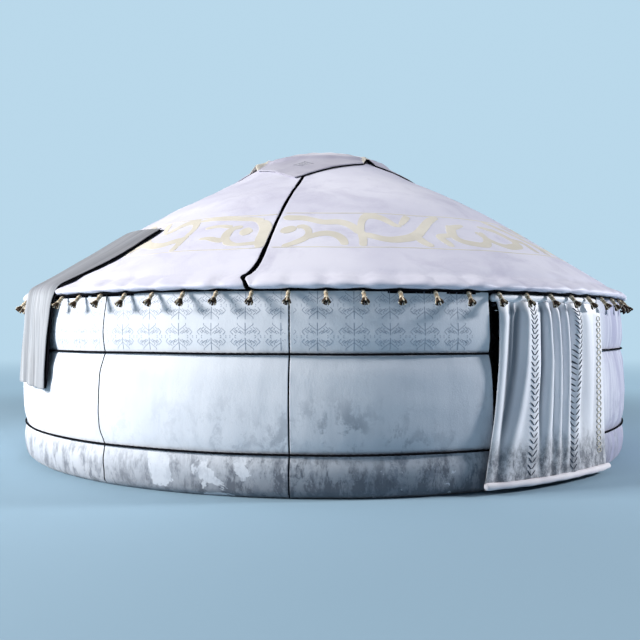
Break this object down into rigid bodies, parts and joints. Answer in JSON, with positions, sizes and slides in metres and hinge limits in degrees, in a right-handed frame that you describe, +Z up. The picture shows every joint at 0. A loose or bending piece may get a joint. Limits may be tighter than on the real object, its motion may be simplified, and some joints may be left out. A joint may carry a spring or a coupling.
{
  "type": "yurt",
  "caption": "Round felt yurt: lattice wall, poled dome roof with a covered crown ring, roped wall felts, tasselled eave, hung door curtain and a cloth flap over the side.",
  "frame": {"origin": "on the ground, on the yurt's centre axis under the crown", "axes": "+Z up, the doorway faces -Y, the side flap hangs on the -X side"},
  "size_m": [6.1993, 6.2166, 3.029],
  "materials": {
    "wall_felt": "matt felt",
    "roof_felt": "matt felt",
    "cover_cloth": "matt felt",
    "flap_cloth": "matt cloth",
    "curtain_cloth": "soft cloth",
    "dark_rope": "matt twisted",
    "tassel_yarn": "matt yarn",
    "wood": "oiled"
  },
  "bodies": {
    "root": {"crown_bars_lower": "wood", "crown_bars_upper": "wood", "crown_cover": "cover_cloth", "crown_ring": "wood", "curtain_hem_roll": "curtain_cloth", "curtain_top_roll": "curtain_cloth", "door_curtain": "curtain_cloth", "door_lintel": "wood", "door_post_left": "wood", "door_post_right": "wood", "door_sill": "wood", "eave_cord": "dark_rope", "girth_rope_lower": "dark_rope", "girth_rope_upper": "dark_rope", "lattice_left_back": "wood", "lattice_left_front": "wood", "lattice_right_back": "wood", "lattice_right_front": "wood", "roof_felt_back": "roof_felt", "roof_felt_front": "roof_felt", "roof_felt_left": "roof_felt", "roof_felt_right": "roof_felt", "roof_poles_back": "wood", "roof_poles_front": "wood", "roof_poles_left": "wood", "roof_poles_right": "wood", "side_flap": "flap_cloth", "tassels_back": "tassel_yarn", "tassels_front": "tassel_yarn", "tassels_left": "tassel_yarn", "tassels_right": "tassel_yarn", "wall_felt_left_1": "wall_felt", "wall_felt_left_2": "wall_felt", "wall_felt_left_3": "wall_felt", "wall_felt_left_4": "wall_felt", "wall_felt_left_5": "wall_felt", "wall_felt_left_6": "wall_felt", "wall_felt_right_1": "wall_felt", "wall_felt_right_2": "wall_felt", "wall_felt_right_3": "wall_felt", "wall_felt_right_4": "wall_felt", "wall_felt_right_5": "wall_felt", "wall_felt_right_6": "wall_felt"}
  },
  "joints": []
}
